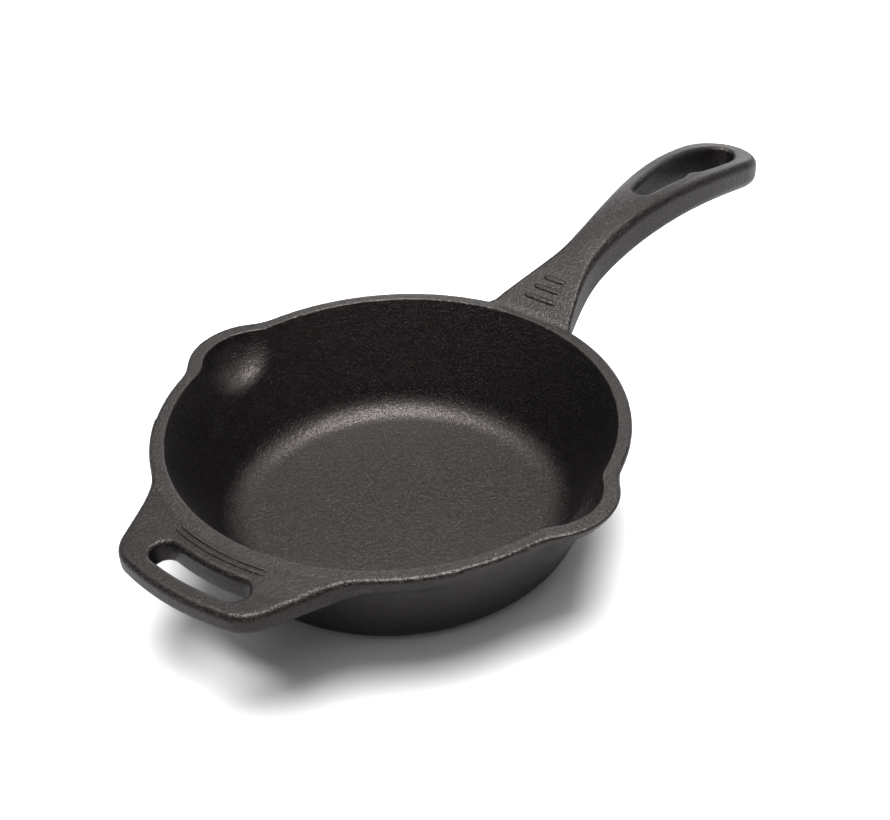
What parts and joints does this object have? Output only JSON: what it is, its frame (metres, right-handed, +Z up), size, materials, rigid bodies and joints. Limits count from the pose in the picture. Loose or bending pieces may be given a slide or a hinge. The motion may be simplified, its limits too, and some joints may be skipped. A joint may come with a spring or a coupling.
{
  "type": "cast iron skillet",
  "caption": "Small cast iron skillet with flared wall, pour spouts on both sides, a slotted helper handle and an arched long handle ending in a hanging loop.",
  "frame": {"origin": "centre of the pan on its flat resting face", "axes": "+X along the long handle, +Y to its left, +Z up out of the open pan"},
  "size_m": [0.3275, 0.1742, 0.0612],
  "materials": {
    "cast_iron_floor": "seasoned, fine sand-cast grain, satin",
    "cast_iron_wall": "seasoned, fine sand-cast grain, satin",
    "cast_iron_rim": "seasoned, smoothed edge, satin",
    "cast_iron_handles": "seasoned, fine sand-cast grain, satin"
  },
  "bodies": {
    "root": {"pan_floor": "cast_iron_floor", "pan_wall": "cast_iron_wall", "rim_helper_side": "cast_iron_rim", "rim_handle_side": "cast_iron_rim", "left_pour_spout": "cast_iron_wall", "right_pour_spout": "cast_iron_wall", "helper_handle": "cast_iron_handles", "helper_relief_marks": "cast_iron_handles", "handle_root": "cast_iron_handles", "handle_grip": "cast_iron_handles", "hanging_loop": "cast_iron_handles", "handle_relief_marks": "cast_iron_handles"}
  },
  "joints": []
}
